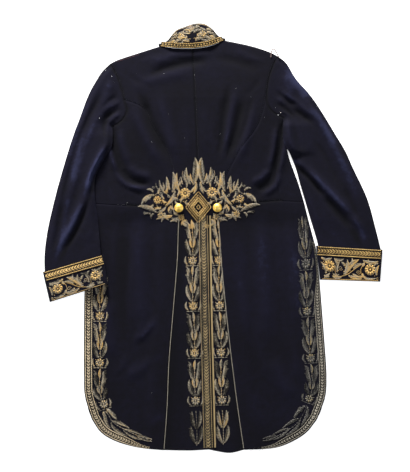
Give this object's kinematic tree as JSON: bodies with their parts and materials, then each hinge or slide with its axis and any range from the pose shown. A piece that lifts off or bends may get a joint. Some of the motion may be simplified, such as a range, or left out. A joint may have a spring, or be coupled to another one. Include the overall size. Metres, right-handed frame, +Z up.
{
  "type": "embroidered court coat",
  "caption": "Man's wool tailcoat laid flat, back up: gold-embroidered collar, cuffs, skirts, vent and waist, domed gilt hip buttons.",
  "frame": {"origin": "centre of the coat's outline, on the surface that it lies on", "axes": "+Y towards the collar, +Z up from the surface, +X towards the coat's own right sleeve as seen from its back"},
  "size_m": [0.8486, 1.0711, 0.0185],
  "materials": {
    "wool": "matt, felted wool broadcloth",
    "gold_braid": "woven and stitched gilt metal thread",
    "tarnished_braid": "tarnished gilt metal thread",
    "gilt": "polished gilt"
  },
  "bodies": {
    "root": {"front_left": "wool", "back_left": "wool", "side_left": "wool", "skirt_left": "wool", "undersleeve_left": "wool", "topsleeve_left": "wool", "cuff_left": "wool", "braid_cuff_left": "gold_braid", "front_right": "wool", "back_right": "wool", "side_right": "wool", "skirt_right": "wool", "undersleeve_right": "wool", "topsleeve_right": "wool", "cuff_right": "wool", "braid_cuff_right": "gold_braid", "collar": "wool", "braid_skirt_left": "gold_braid", "braid_skirt_right": "tarnished_braid", "braid_vent_left": "gold_braid", "braid_vent_right": "gold_braid", "button_left": "gilt", "piping_left": "gold_braid", "button_right": "gilt", "piping_right": "gold_braid", "shoulder_loop": "tarnished_braid"}
  },
  "joints": []
}
